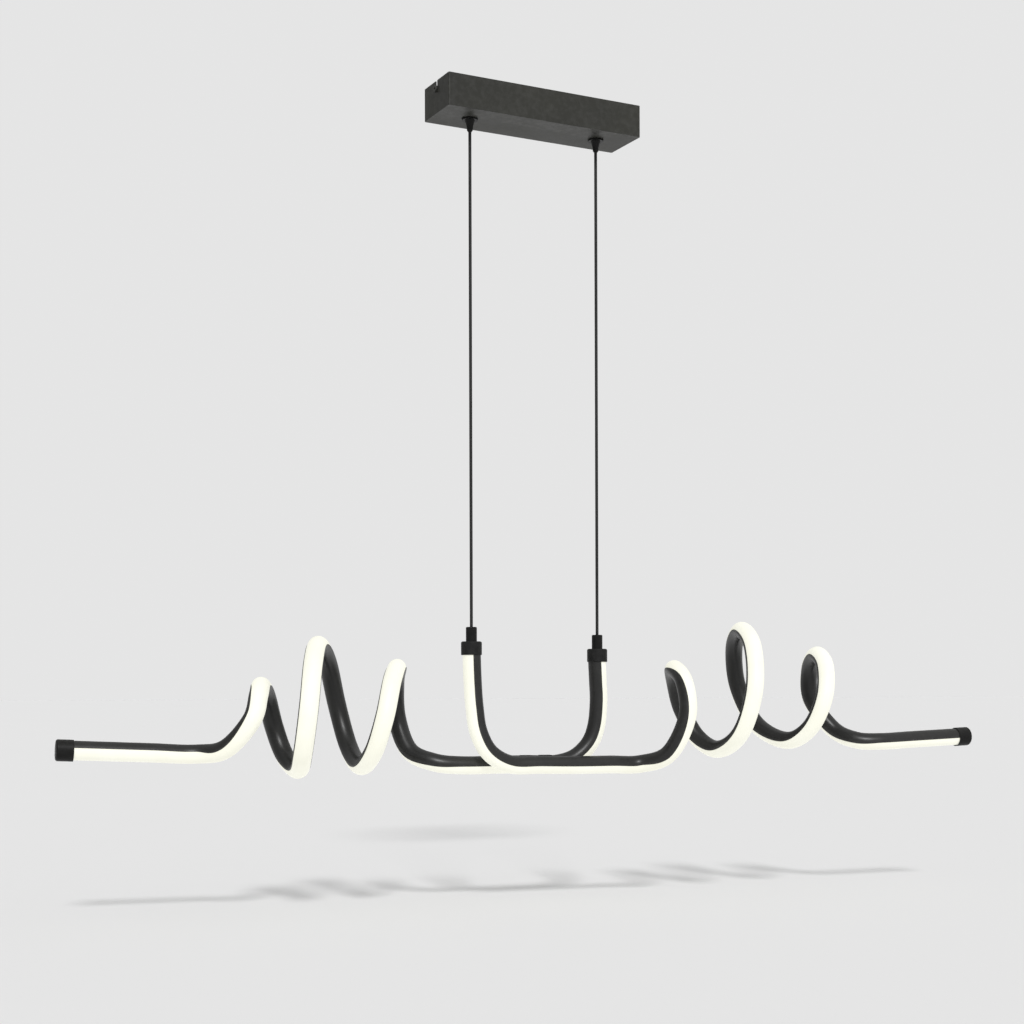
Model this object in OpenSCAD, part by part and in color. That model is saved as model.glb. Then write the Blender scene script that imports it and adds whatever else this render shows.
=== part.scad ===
// Linear pendant light: a ceiling canopy, two taut cords and two bent light tubes.
// +X runs along the canopy, +Z is up, and the ceiling is the plane z = 0. Millimetres.
// Each tube is a half-round metal channel closed by a half-round diffuser. The left tube
// makes the left coil and hangs from the right cord; the right tube does the opposite.

/* [Canopy] */
// Length of the canopy
canopy_l = 256; // [248:1:300]
// Width of the canopy
canopy_w = 68; // [60:1:90]
// Height of the canopy
canopy_h = 38; // [38:1:50]
// Thickness of the canopy sheet
canopy_t = 1.5; // [1:0.1:2]
// Depth of the side screws below the ceiling
side_screw_drop = 9.5; // [9:0.5:12]

/* [Ceiling bracket] */
// Distance between the two ceiling screw slots
slot_spacing = 200; // [196:1:204]
// Half width of a ceiling screw slot
slot_r = 2.5; // [2:0.1:2.8]
// End-to-end length of a ceiling screw slot
slot_l = 11; // [8:0.5:12]
// Radius of the mains cable entry
entry_r = 8; // [6:0.5:9]

/* [Cords] */
// Distance between the two cords
cord_spacing = 170; // [160:1:172]
// Diameter of a cord
cord_d = 3.6; // [3:0.1:4]
// Level of the two pivot balls, measured down from the ceiling
ball_drop = 648; // [645:1:650]

/* [Light tubes] */
// Diameter of a light tube
tube_d = 22; // [20:0.5:22]
// Distance between the two tubes where they lie side by side
tube_gap = 24; // [24:0.5:26]
// Depth of the middle run's centre line below the ceiling
run_drop = 796; // [790:1:800]
// Rise of the two outer arms, in degrees
arm_rise = 2.5; // [1:0.5:4]
// Height of the left grip above the middle run
left_grip_h = 130; // [126:1:132]
// Height of the right grip above the middle run
right_grip_h = 123; // [120:1:128]

/* [Hidden] */

black = "#2b2b29";
steel = "#b9bcbd";
warm_white = "#fffbe8";

// Canopy and bracket
strip_l = 240;
strip_w = 28;
strip_t = 2;
tab_w = 20;
tab_drop = 17;
boss_l = 5;
boss_r = 4.5;
screw_r = 1.95;
thread_r = 2;
screw_l = 12;
head_r = 4;
head_t = 2.2;
seat_gap = 0.2;
end_slot_r = 2.3;
corner_r = 2;
cord_x = cord_spacing / 2;

// Driver and terminals
driver_x0 = -36;
driver_l = 96;
driver_w = 27;
driver_h = 20;
cover_l = 12;
driver_screw_r = 1.5;
driver_screw_head_r = 2.8;
block_x = -80;
block_l = 16;
block_w = 24;
block_h = 12;
pole_pitch = 7.5;
earth_x = 112;
entry_x = -56;

// Cord glands, pivot balls and grips
stem_r = 5;
stem_l = 9;
flange_r = 9.5;
flange_t = 2;
cone_r = 6;
cone_tip_r = 3.4;
cone_l = 12;
bead_r = 2.5;
bead_flat = 1.7;
seat_r = 2.8;
seat_depth = 3.5;
nut_r = 9;
nut_t = 5;
ball_r = 4.3;
ball_flat = 3.5;
socket_r = 4.6;
mouth_r = 2.6;
sway_room = 10;
sleeve_r = 6.5;
sleeve_l = 17;
collar_r = 12.25;
collar_l = 16;
collar_top = 3;
tip_z = -canopy_h - flange_t - cone_l;
cord_top = tip_z - bead_flat;
cord_end = -ball_drop + ball_flat;

// Light tubes: half coverage of the diffuser, how far the channel stands proud of it,
// wall sizes and the flat floor of the channel
tube_r = tube_d / 2;
bore_r = tube_r + 0.2;
split = 84;
split_gap = 1;
lip = 0.5;
diffuser_t = 1.8;
channel_t = 1.6;
floor_v = -4.6;
floor_half = 8;
strip_half = 4;
strip_clear = 1;
strip_thick = 1.2;
tube_y = tube_gap / 2;
cap_r = 12;
cap_l = 19;
cap_floor = 4;
cap_end_t = 3;
cap_round = 2.5;
insert = 12;
joiner_x = 12;
joiner_l = 14;
joiner_w = 12;
joiner_h = 11.5;

// The lamp hangs slightly turned, so that both grips sit straight below their cords
lamp_turn = -asin(tube_y / cord_x);
grip_x = sqrt(cord_x * cord_x - tube_y * tube_y);

// Half turns of a coil, back and front in turn, top first. Each row is one half turn:
// where it starts along X, the height there, and where it is along X at its middle.
left_turns = [
    [-330, 94, -306], [-288, -1, -291], [-264, 141, -226],
    [-215, 2, -201], [-171, 115, -156], [-150, 0, 0]
];
right_turns = [
    [181, 115, 214], [241, 15, 253], [273, 163, 302],
    [335, 25, 359], [379, 133, 401], [420, 22, 0]
];
left_arm = [-404, -552, 18];
right_arm = [470, 597, 22];

// Points along a half turn, every 45 degrees: a circle seen along X, whose place along X
// runs through the row's start, its middle and the next row's start.
function turn_x(a, b, t) = a[0] * (1 - t) * (1 - 2 * t) + 4 * a[2] * t * (1 - t) + b[0] * t * (2 * t - 1);
function turn_point(a, b, side, k) =
    let (r = abs(b[1] - a[1]) / 2, angle = 45 * k, mid = (a[1] + b[1]) / 2)
    [turn_x(a, b, k / 4), -side * r * sin(angle), mid - side * r * cos(angle)];
function turn_out(side, k) = [0, -side * sin(45 * k), -side * cos(45 * k)];
function side_of(i) = i % 2 == 0 ? -1 : 1;
function last_step(i, n) = i == n ? 2 : 3;

// Every station of a tube is [point on the centre line, way that the diffuser faces]
function coil(rows) = [
    for (i = [0 : len(rows) - 2], k = [0 : last_step(i, len(rows) - 2)])
        [turn_point(rows[i], rows[i + 1], side_of(i), k), turn_out(side_of(i), k)]
];
function arm_h(arm, x) = arm[2] + abs(x - arm[0]) * tan(arm_rise);
function arm_stations(arm, count, out) = [
    for (i = [0 : count])
        let (x = arm[0] + (arm[1] - arm[0]) * i / count)
        [[x, 0, arm_h(arm, x)], out]
];
function reversed(list) = [for (i = [len(list) - 1 : -1 : 0]) list[i]];
down = [0, 0, -1];
left_out = [0, -0.4, -0.9];

left_stations = concat(
    reversed(arm_stations(left_arm, 3, left_out)),
    [
        [[-374, -21, 24], [0.5, -0.5, -0.7]], [[-348, -38, 56], [0.5, -0.8, 0]],
        [[-338, -27, 84], [0.4, -0.6, 0.6]]
    ],
    coil(left_turns),
    [
        [[-146, 40, 18], [0, 0.7, -0.7]], [[-122, 18, 4], [0, 0.3, -1]],
        [[-90, tube_y, 0], down], [[-45, tube_y, 0], down], [[0, tube_y, 0], down],
        [[30, tube_y, 0], down], [[55, tube_y, 7], [0.5, 0, -0.9]],
        [[74, tube_y, 24], [0.8, 0, -0.6]], [[83, tube_y, 46], [1, 0, -0.2]],
        [[86, tube_y, 75], [1, 0, 0]], [[grip_x + 1, tube_y, 100], [1, 0, 0]],
        [[grip_x, tube_y, right_grip_h], [1, 0, 0]],
        [[grip_x, tube_y, right_grip_h + insert], [1, 0, 0]]
    ]
);
right_stations = concat(
    [
        [[-grip_x, -tube_y, left_grip_h + insert], [-1, 0, 0]],
        [[-grip_x, -tube_y, left_grip_h], [-1, 0, 0]],
        [[1 - grip_x, -tube_y, 100], [-1, 0, 0]], [[-81, -tube_y, 70], [-1, 0, -0.1]],
        [[-76, -tube_y, 40], [-1, 0, -0.4]], [[-62, -tube_y, 15], [-0.7, 0, -0.8]],
        [[-36, -tube_y, 1], [-0.2, 0, -1]], [[0, -tube_y, 0], down],
        [[45, -tube_y, -1], down], [[90, -tube_y, -1], down],
        [[130, -13, -1], down], [[157, -38, 12], [0.5, 0.1, -0.8]],
        [[172, -58, 57], [0.9, -0.4, 0]], [[176, -41, 98], [0.7, -0.3, 0.6]]
    ],
    coil(right_turns),
    [[[423, 38, 38], [0, 0.7, -0.7]], [[441, 11, 24], [0, 0.3, -1]]],
    arm_stations(right_arm, 3, down)
);

// Smooth curve through the stations, with three rings to each stretch
ring_steps = 3;
function clamped(list, i) = list[max(0, min(len(list) - 1, i))];
function curve(a, b, c, d, t) =
    0.5 * (2 * b + (c - a) * t + (2 * a - 5 * b + 4 * c - d) * t * t + (3 * b - a - 3 * c + d) * t * t * t);
function rings(list, kind) = [
    for (i = [0 : len(list) - 2], k = [0 : ring_steps - (i == len(list) - 2 ? 0 : 1)])
        curve(
            clamped(list, i - 1)[kind], list[i][kind], list[i + 1][kind],
            clamped(list, i + 2)[kind], k / ring_steps
        )
];
function unit(v) = v / norm(v);
function tangent(points, i) = unit(clamped(points, i + 1) - clamped(points, i - 1));
function placed(point, along, out, shape) =
    let (v = unit(out - (out * along) * along), u = cross(v, along))
    [for (q = shape) point + q[0] * u + q[1] * v];

// Solid swept along a tube: one outline on every ring, closed at both ends
module swept(stations, shape) {
    points = rings(stations, 0);
    outs = rings(stations, 1);
    n = len(shape);
    m = len(points);
    skin = [for (i = [0 : m - 1]) placed(points[i], tangent(points, i), outs[i], shape)];
    polyhedron(
        points = [for (ring = skin) each ring],
        faces = concat(
            [[for (j = [0 : n - 1]) j]],
            [for (i = [0 : m - 2], j = [0 : n - 1])
                [i * n + j, (i + 1) * n + j, (i + 1) * n + (j + 1) % n]],
            [for (i = [0 : m - 2], j = [0 : n - 1])
                [i * n + j, (i + 1) * n + (j + 1) % n, i * n + (j + 1) % n]],
            [[for (j = [n - 1 : -1 : 0]) (m - 1) * n + j]]
        ),
        convexity = 10
    );
}

// Outlines: u runs across the tube and v towards the diffuser; angles count from +v
function arc(r, from, to, count) = [
    for (i = [0 : count])
        let (angle = from + (to - from) * i / count)
        [r * sin(angle), r * cos(angle)]
];
channel_shape = concat(
    arc(tube_r, split + split_gap, 360 - split - split_gap, 10),
    [[-tube_r + channel_t, 0.9], [-floor_half, floor_v], [floor_half, floor_v], [tube_r - channel_t, 0.9]]
);
diffuser_r = tube_r - lip;
diffuser_shape = concat(
    arc(diffuser_r, -split, split, 9), arc(diffuser_r - diffuser_t, split - 2, 2 - split, 6)
);
strip_v = floor_v + strip_clear;
strip_shape = [
    [-strip_half, strip_v], [-strip_half, strip_v + strip_thick],
    [strip_half, strip_v + strip_thick], [strip_half, strip_v]
];

// Everything on the lamp is drawn with the middle run along X at height 0, then hung
module hung() {
    translate([0, 0, -run_drop]) rotate([0, 0, lamp_turn]) children();
}
module tube_between(r, z0, z1) {
    translate([0, 0, z0]) cylinder(r = r, h = z1 - z0, $fn = 48);
}
module along_x(x, z) {
    translate([x, 0, z]) rotate([0, 90, 0]) children();
}

module ceiling_bracket() {
    color(steel)
    difference() {
        union() {
            translate([-strip_l / 2, -strip_w / 2, -strip_t]) cube([strip_l, strip_w, strip_t]);
            for (side = [-1, 1]) {
                translate([side * (strip_l / 2 + strip_t / 2), 0, -tab_drop / 2])
                    cube([strip_t, tab_w, tab_drop], center = true);
                along_x(side * (strip_l / 2 - boss_l / 2), -side_screw_drop)
                    cylinder(r = boss_r, h = boss_l, center = true, $fn = 48);
            }
        }
        for (side = [-1, 1]) {
            along_x(side * (strip_l / 2 - 1), -side_screw_drop)
                cylinder(r = thread_r, h = 20, center = true, $fn = 48);
            for (x = [-1, 1])
                translate([side * slot_spacing / 2 + x * (slot_l / 2 - slot_r), 0, 0])
                    cylinder(r = slot_r, h = 20, center = true, $fn = 48);
            translate([side * slot_spacing / 2, 0, 0])
                cube([slot_l - 2 * slot_r, 2 * slot_r, 20], center = true);
        }
        translate([entry_x, 0, 0]) cylinder(r = entry_r, h = 20, center = true, $fn = 48);
        translate([earth_x, 0, 0])
            cylinder(r = thread_r + 0.1, h = 2 * strip_t + 1, center = true, $fn = 48);
    }
}

module driver_case() {
    color("white")
    translate([driver_x0 + cover_l, -driver_w / 2, -strip_t - driver_h])
        cube([driver_l, driver_w, driver_h]);
}

module driver_end_cover(x) {
    difference() {
        translate([x, -driver_w / 2, -strip_t - driver_h]) cube([cover_l, driver_w, driver_h]);
        translate([x + cover_l / 2, 0, -strip_t - driver_h / 2])
            cylinder(r = driver_screw_r + 0.1, h = driver_h + 2, center = true, $fn = 32);
    }
}

module driver_end_covers() {
    color("lightgray")
    for (x = [driver_x0, driver_x0 + cover_l + driver_l]) driver_end_cover(x);
}

module driver_screws() {
    color(steel)
    for (x = [driver_x0, driver_x0 + cover_l + driver_l])
        translate([x + cover_l / 2, 0, 0]) {
            tube_between(driver_screw_r, -strip_t - driver_h, -strip_t);
            tube_between(driver_screw_head_r, -strip_t - driver_h - 2, -strip_t - driver_h);
        }
}

module terminal_block() {
    color("ivory")
    difference() {
        translate([block_x - block_l / 2, -block_w / 2, -strip_t - block_h])
            cube([block_l, block_w, block_h]);
        for (i = [-1 : 1]) {
            translate([block_x, i * pole_pitch, -strip_t - block_h - 1])
                cylinder(r = 1.8, h = 5, $fn = 32);
            translate([block_x, i * pole_pitch, -strip_t - 4.5]) rotate([0, 90, 0])
                cylinder(r = 1.6, h = block_l + 2, center = true, $fn = 32);
        }
    }
}

module terminal_screws() {
    color("goldenrod")
    for (i = [-1 : 1])
        translate([block_x, i * pole_pitch, -strip_t - block_h + 0.6])
            cylinder(r = 1.7, h = 3.3, $fn = 32);
}

module earth_screw() {
    color("goldenrod")
    translate([earth_x, 0, 0]) {
        tube_between(thread_r, -strip_t, -0.3);
        tube_between(head_r, -strip_t - 2.4, -strip_t);
    }
}

// Screw through a canopy end, turning in the bracket's boss; the head has a cross recess
module side_screw(side) {
    color(black)
    mirror([side < 0 ? 1 : 0, 0, 0])
    difference() {
        union() {
            along_x(canopy_l / 2 - screw_l + seat_gap, -side_screw_drop)
                cylinder(r = screw_r, h = screw_l, $fn = 48);
            along_x(canopy_l / 2 + seat_gap, -side_screw_drop)
                cylinder(r = head_r, h = head_t, $fn = 48);
        }
        for (tilt = [0, 90])
            translate([canopy_l / 2 + seat_gap + head_t, 0, -side_screw_drop]) rotate([tilt, 0, 0])
                cube([2.4, 4.4, 0.9], center = true);
    }
}
module side_screw_left() { side_screw(-1); }
module side_screw_right() { side_screw(1); }

// Box with rounded upright edges, standing on its floor
module rounded_box(l, w, h, r) {
    translate([-l / 2, -w / 2 + r, 0]) cube([l, w - 2 * r, h]);
    translate([-l / 2 + r, -w / 2, 0]) cube([l - 2 * r, w, h]);
    for (x = [-1, 1], y = [-1, 1])
        translate([x * (l / 2 - r), y * (w / 2 - r), 0]) cylinder(r = r, h = h, $fn = 48);
}

module canopy() {
    color(black)
    difference() {
        translate([0, 0, -canopy_h]) rounded_box(canopy_l, canopy_w, canopy_h, corner_r);
        translate([0, 0, -canopy_h + canopy_t])
            rounded_box(canopy_l - 2 * canopy_t, canopy_w - 2 * canopy_t, canopy_h, corner_r - 1);
        for (side = [-1, 1]) {
            translate([side * cord_x, 0, -canopy_h - 1])
                cylinder(r = stem_r + 0.1, h = canopy_t + 2, $fn = 48);
            along_x(side * (canopy_l / 2), -side_screw_drop)
                cylinder(r = end_slot_r, h = 3 * canopy_t, center = true, $fn = 48);
            translate([side * (canopy_l / 2), 0, (1 - side_screw_drop) / 2])
                cube([3 * canopy_t, 2 * end_slot_r, side_screw_drop + 1], center = true);
        }
    }
}

// Cone gland: threaded stem through the canopy floor, flange, and a hollow-sided cone
// below it, whose radius narrows fast at first and then slowly
function cone_radius(t) = cone_tip_r + (cone_r - cone_tip_r) * t * t;
module gland(side) {
    color(black)
    translate([side * cord_x, 0, 0])
    difference() {
        union() {
            tube_between(stem_r, -canopy_h, -canopy_h + stem_l);
            rotate_extrude($fn = 64)
                polygon(concat(
                    [[0, tip_z], [cone_tip_r - 0.3, tip_z]],
                    [for (t = [0.03 : 0.97 / 6 : 1.01]) [cone_radius(t), tip_z + t * cone_l]],
                    [
                        [flange_r, -canopy_h - flange_t], [flange_r, -canopy_h], [0, -canopy_h]
                    ]
                ));
        }
        tube_between(cord_d / 2 + 0.4, tip_z, -canopy_h + stem_l + 1);
        tube_between(seat_r, tip_z - 1, tip_z + seat_depth);
    }
}
module gland_left() { gland(-1); }
module gland_right() { gland(1); }

module gland_nut(side) {
    color(steel)
    translate([side * cord_x, 0, -canopy_h + canopy_t])
    difference() {
        cylinder(r = nut_r, h = nut_t, $fn = 6);
        translate([0, 0, -1]) cylinder(r = stem_r + 0.1, h = nut_t + 2, $fn = 48);
    }
}
module gland_nut_left() { gland_nut(-1); }
module gland_nut_right() { gland_nut(1); }

// Strain relief bead that rolls in the cone's tip, with a flat where the cord leaves it
module bead(side) {
    color(black)
    translate([side * cord_x, 0, tip_z])
    difference() {
        sphere(r = bead_r, $fn = 48);
        translate([-bead_r, -bead_r, -2 * bead_r - bead_flat]) cube(2 * bead_r);
    }
}
module bead_left() { bead(-1); }
module bead_right() { bead(1); }

module cord(side) {
    color(black)
    translate([side * cord_x, 0, 0]) tube_between(cord_d / 2, cord_end, cord_top);
}
module cord_left() { cord(-1); }
module cord_right() { cord(1); }

// Ball crimped on the lower end of a cord, held inside the sleeve
module ball(side) {
    color(steel)
    translate([side * cord_x, 0, -ball_drop])
    difference() {
        sphere(r = ball_r, $fn = 48);
        translate([-ball_r, -ball_r, ball_flat]) cube(2 * ball_r);
    }
}
module ball_left() { ball(-1); }
module ball_right() { ball(1); }

// Room for a ball in a grip: a socket, and a flared mouth in which the cord can lean
module socket(side) {
    translate([side * cord_x, 0, -ball_drop]) sphere(r = socket_r, $fn = 48);
}
module mouth(side, top) {
    depth = top + ball_drop;
    translate([side * cord_x, 0, -ball_drop])
        cylinder(r1 = mouth_r, r2 = mouth_r + depth * tan(sway_room), h = depth + 0.01, $fn = 48);
}
function grip_z(side) = -run_drop + (side < 0 ? left_grip_h : right_grip_h);

module sleeve(side) {
    foot = grip_z(side) + collar_l;
    top = foot + sleeve_l;
    color(black)
    difference() {
        translate([side * cord_x, 0, 0])
            rotate_extrude($fn = 64)
                polygon([
                    [0, foot], [sleeve_r, foot], [sleeve_r, top - 0.8], [sleeve_r - 0.8, top], [0, top]
                ]);
        socket(side);
        mouth(side, top);
    }
}
module sleeve_left() { sleeve(-1); }
module sleeve_right() { sleeve(1); }

module collar(side) {
    foot = grip_z(side);
    top = foot + collar_l;
    color(black)
    difference() {
        translate([side * cord_x, 0, 0])
            rotate_extrude($fn = 64)
                polygon([
                    [0, foot], [collar_r - 0.6, foot], [collar_r, foot + 0.6],
                    [collar_r, top - 1.2], [collar_r - 1.2, top], [0, top]
                ]);
        translate([side * cord_x, 0, 0]) tube_between(bore_r, foot - 1, top - collar_top);
        socket(side);
    }
}
module collar_left() { collar(-1); }
module collar_right() { collar(1); }

// Saddle between the two tubes where they run side by side
module tube_joiner(side) {
    color(black)
    hung()
    difference() {
        translate([side * joiner_x - joiner_l / 2, -joiner_w / 2, 0]) cube([joiner_l, joiner_w, joiner_h]);
        for (y = [-1, 1])
            translate([side * joiner_x, y * tube_y, 0]) rotate([0, 90, 0])
                cylinder(r = bore_r + 0.3, h = joiner_l + 2, center = true, $fn = 96);
    }
}
module tube_joiner_left() { tube_joiner(-1); }
module tube_joiner_right() { tube_joiner(1); }

module channel_left() { color(black) hung() swept(left_stations, channel_shape); }
module channel_right() { color(black) hung() swept(right_stations, channel_shape); }
module diffuser_left() { color(warm_white) hung() swept(left_stations, diffuser_shape); }
module diffuser_right() { color(warm_white) hung() swept(right_stations, diffuser_shape); }
module led_strip_left() { color("khaki") hung() swept(left_stations, strip_shape); }
module led_strip_right() { color("khaki") hung() swept(right_stations, strip_shape); }

// Closed cap over the outer end of an arm, turned to the arm's rise
module end_cap(arm, side) {
    color(black)
    hung()
    translate([arm[1], 0, arm_h(arm, arm[1])])
    rotate([0, side * (90 - arm_rise), 0])
    rotate_extrude($fn = 64)
        polygon(concat(
            [[0, cap_floor - cap_end_t], [0, cap_floor]],
            [for (a = [0 : 15 : 90])
                [cap_r - cap_round + cap_round * sin(a), cap_floor - cap_round + cap_round * cos(a)]],
            [[cap_r, cap_floor - cap_l], [bore_r, cap_floor - cap_l], [bore_r, cap_floor - cap_end_t]]
        ));
}
module end_cap_left() { end_cap(left_arm, -1); }
module end_cap_right() { end_cap(right_arm, 1); }

ceiling_bracket();
driver_case();
driver_end_covers();
driver_screws();
terminal_block();
terminal_screws();
earth_screw();
side_screw_left();
side_screw_right();
canopy();
gland_left();
gland_right();
gland_nut_left();
gland_nut_right();
bead_left();
bead_right();
cord_left();
cord_right();
ball_left();
ball_right();
sleeve_left();
sleeve_right();
collar_left();
collar_right();
tube_joiner_left();
tube_joiner_right();
channel_left();
channel_right();
diffuser_left();
diffuser_right();
led_strip_left();
led_strip_right();
end_cap_left();
end_cap_right();
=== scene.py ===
"""Linear pendant light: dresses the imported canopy, cords and coiled light tubes."""

import sys
import logging
import math
from dataclasses import dataclass, field
from enum import Enum
from typing import Callable, Optional, Sequence

import bmesh
import bpy
from mathutils import Matrix, Vector


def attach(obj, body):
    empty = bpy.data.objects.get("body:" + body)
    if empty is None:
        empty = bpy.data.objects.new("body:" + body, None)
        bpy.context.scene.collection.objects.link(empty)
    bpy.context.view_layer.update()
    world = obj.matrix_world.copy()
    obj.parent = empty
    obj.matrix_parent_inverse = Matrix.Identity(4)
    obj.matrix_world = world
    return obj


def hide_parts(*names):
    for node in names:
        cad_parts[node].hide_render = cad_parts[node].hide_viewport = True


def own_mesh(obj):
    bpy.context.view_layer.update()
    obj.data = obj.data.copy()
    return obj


LOG = logging.getLogger("pendant_light")
MM = 0.001
CORD_X = 85.0  # half the distance between the cords, in mm
TUBE_Y = 12.0  # half the distance between the tubes where they run side by side, in mm
VIEW_HEADING_DEG = 27.3  # the way that the camera and the key light face

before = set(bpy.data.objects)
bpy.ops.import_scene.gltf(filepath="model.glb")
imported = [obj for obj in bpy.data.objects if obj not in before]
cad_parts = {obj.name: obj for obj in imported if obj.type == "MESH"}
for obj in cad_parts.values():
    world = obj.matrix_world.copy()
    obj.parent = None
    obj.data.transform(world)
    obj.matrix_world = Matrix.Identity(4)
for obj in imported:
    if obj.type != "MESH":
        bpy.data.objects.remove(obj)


class Side(Enum):
    """The two ends of the light, seen from the front."""

    LEFT = -1
    RIGHT = 1

    @property
    def word(self) -> str:
        """The side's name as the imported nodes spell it."""
        return self.name.lower()


class Outline(Enum):
    """The three long pieces that follow each light tube."""

    CHANNEL = "channel"
    DIFFUSER = "diffuser"
    STRIP = "led_strip"


# ---------------------------------------------------------------------------------------------
# Shader effects
# ---------------------------------------------------------------------------------------------


@dataclass
class Wiring:
    """Adds nodes to one node tree and joins their sockets.

    Args:
        tree: the node tree that the nodes go into.
    """

    tree: bpy.types.NodeTree
    column: int = 0

    def add(self, kind: str, values: Optional[dict] = None, **settings: object) -> bpy.types.Node:
        """Adds one node.

        Args:
            kind: the node's type name.
            values: numbers or colours for its inputs, by socket name or place.
            settings: properties of the node itself.

        Returns:
            The new node.
        """
        made = self.tree.nodes.new(kind)
        self.column += 1
        made.location = (self.column * 180, -(self.column % 4) * 160)
        for name, value in settings.items():
            setattr(made, name, value)
        for name, value in (values or {}).items():
            made.inputs[name].default_value = value
        return made

    def join(self, source: bpy.types.NodeSocket, target: bpy.types.NodeSocket) -> None:
        """Links an output to an input."""
        self.tree.links.new(source, target)

    def sum_of(self, operation: str, first: object, second: object = 0.0) -> bpy.types.NodeSocket:
        """Combines two numbers or sockets with a Math node.

        Args:
            operation: the Math node's operation.
            first: a socket or a number.
            second: a socket or a number.

        Returns:
            The socket that holds the result.
        """
        made = self.add("ShaderNodeMath", operation=operation)
        for place, value in enumerate((first, second)):
            if isinstance(value, bpy.types.NodeSocket):
                self.join(value, made.inputs[place])
            else:
                made.inputs[place].default_value = value
        return made.outputs[0]

    def spread(
        self, value: bpy.types.NodeSocket, low: float, high: float, start: float, end: float
    ) -> bpy.types.NodeSocket:
        """Maps a number from one range to another, held inside the second.

        Args:
            value: the socket to map.
            low: value that becomes start.
            high: value that becomes end.
            start: first end of the new range.
            end: second end of the new range.

        Returns:
            The socket that holds the mapped number.
        """
        made = self.add("ShaderNodeMapRange", {1: low, 2: high, 3: start, 4: end})
        self.join(value, made.inputs[0])
        return made.outputs[0]

    def blend(
        self, share: bpy.types.NodeSocket, first: object, second: object
    ) -> bpy.types.NodeSocket:
        """Mixes two colours by a mask.

        Args:
            share: the mask, 0 for the first colour and 1 for the second.
            first: a colour or a colour socket.
            second: a colour or a colour socket.

        Returns:
            The socket that holds the mixed colour.
        """
        made = self.add("ShaderNodeMix", data_type="RGBA")
        self.join(share, made.inputs[0])
        for place, value in ((6, first), (7, second)):
            if isinstance(value, bpy.types.NodeSocket):
                self.join(value, made.inputs[place])
            else:
                made.inputs[place].default_value = value
        return made.outputs[2]


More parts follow.
